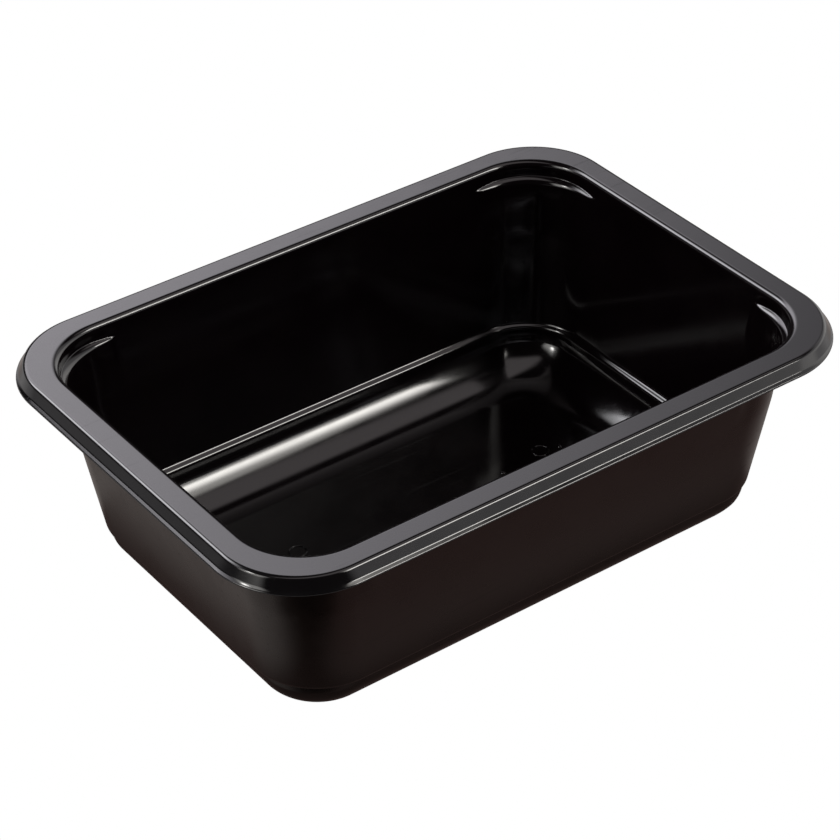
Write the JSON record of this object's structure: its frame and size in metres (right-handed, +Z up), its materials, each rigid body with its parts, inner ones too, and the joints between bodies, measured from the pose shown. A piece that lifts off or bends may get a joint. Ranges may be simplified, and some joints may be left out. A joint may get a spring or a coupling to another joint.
{
  "type": "plastic food tray",
  "caption": "Deep rectangular black plastic food tray with rounded corners, a flat sealing rim with a turned-down skirt, stacking lugs and a ledge above a coved floor.",
  "frame": {"origin": "under the middle of the floor, on the surface that the tray stands on", "axes": "+X along the tray's length, +Y across its width, +Z up out of its mouth"},
  "size_m": [0.18, 0.1302, 0.0598],
  "materials": {
    "black_plastic": "glossy inside, satin rim and finely grained satin outside"
  },
  "bodies": {
    "root": {"tray": "black_plastic"}
  },
  "joints": []
}
